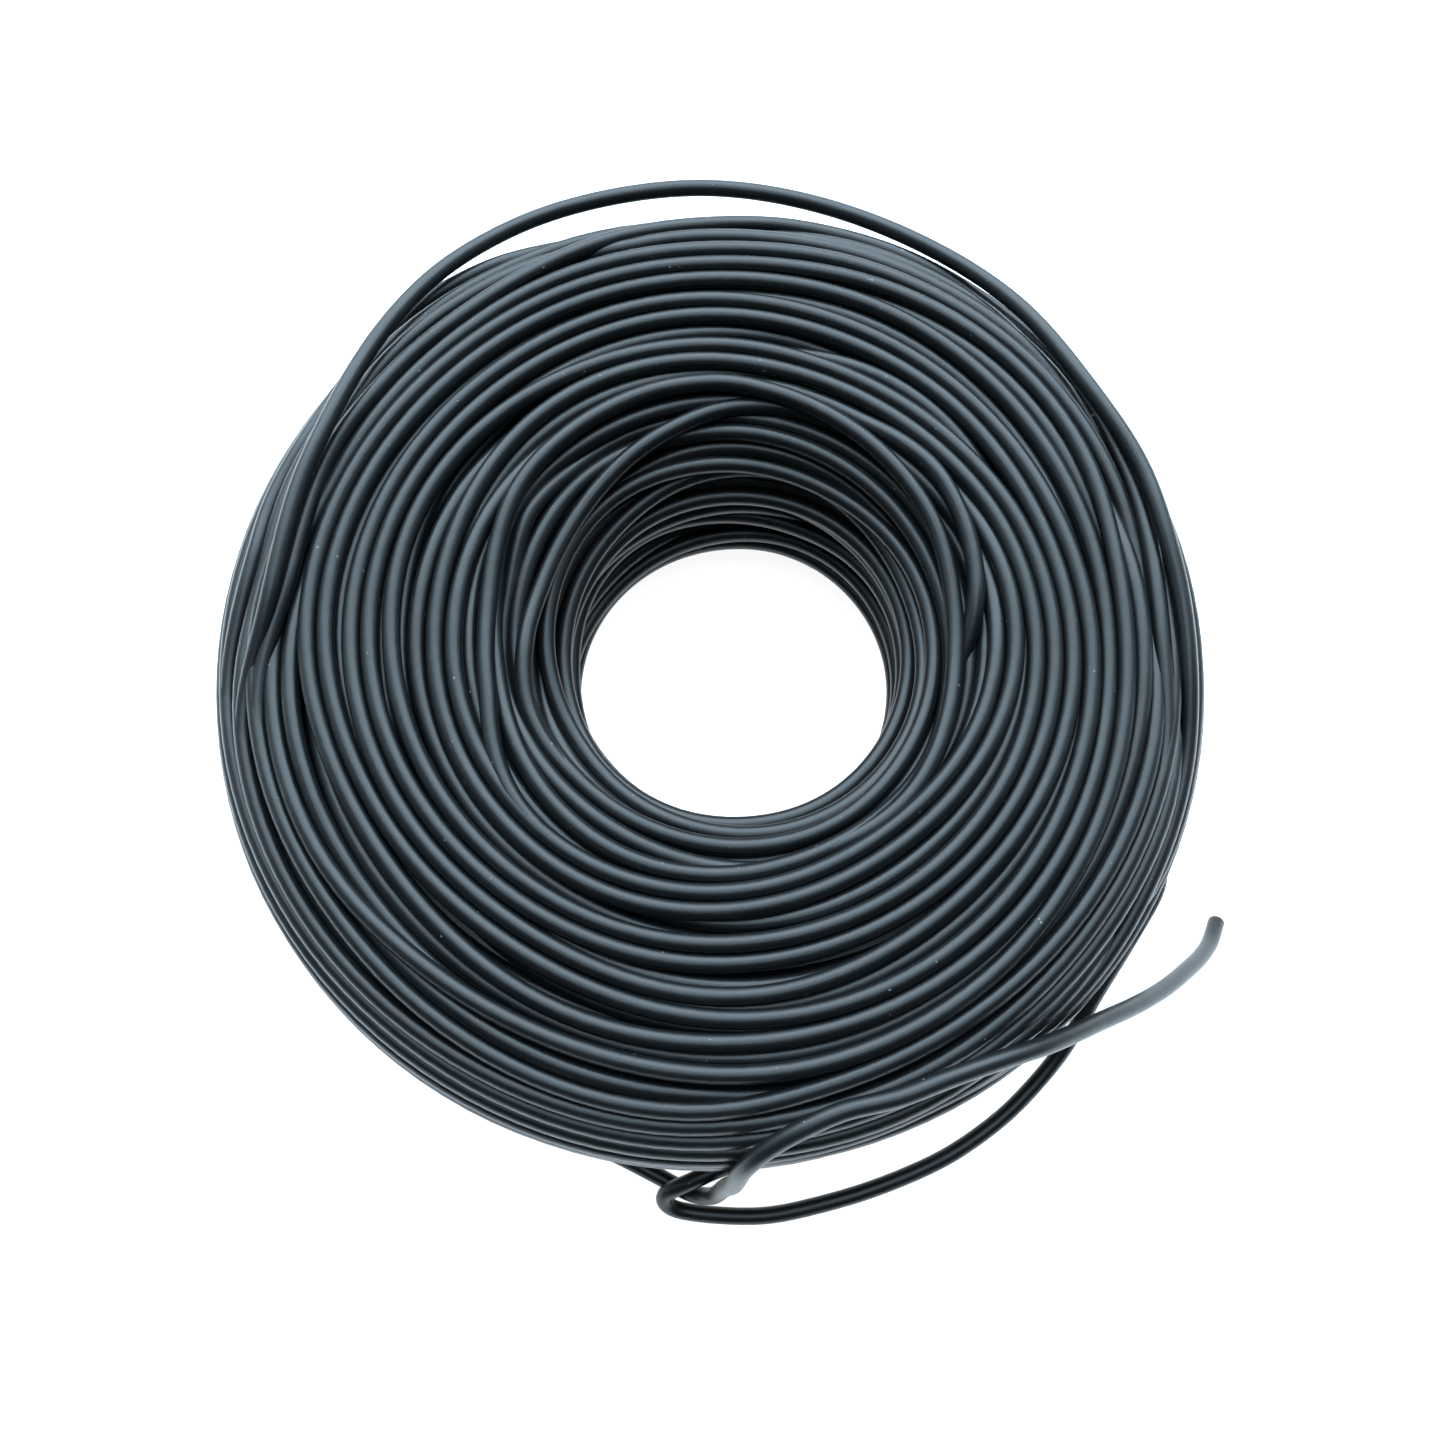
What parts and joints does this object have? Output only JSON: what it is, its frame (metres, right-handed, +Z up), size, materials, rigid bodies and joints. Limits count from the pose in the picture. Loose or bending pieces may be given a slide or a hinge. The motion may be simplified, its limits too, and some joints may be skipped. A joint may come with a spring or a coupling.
{
  "type": "coil of single-core electrical wire",
  "caption": "Round flat-lying coil of black PVC-insulated single-core building wire, with a sprung outer turn, a hitched tail loop and a free cut end.",
  "frame": {"origin": "on the floor, under the middle of the whole object's bounding box, loose strands included", "axes": "+Z up along the coil's axis; +Y away from the viewer of the picture, so the hitched tail is on the -Y side; +X to the viewer's right, where the free end points"},
  "size_m": [0.2102, 0.2164, 0.0631],
  "materials": {
    "insulation": "satin black PVC with faint scuffs and dust"
  },
  "bodies": {
    "root": {"wire_coil": "insulation", "loose_turn": "insulation", "tail_loop": "insulation", "free_end": "insulation"}
  },
  "joints": []
}
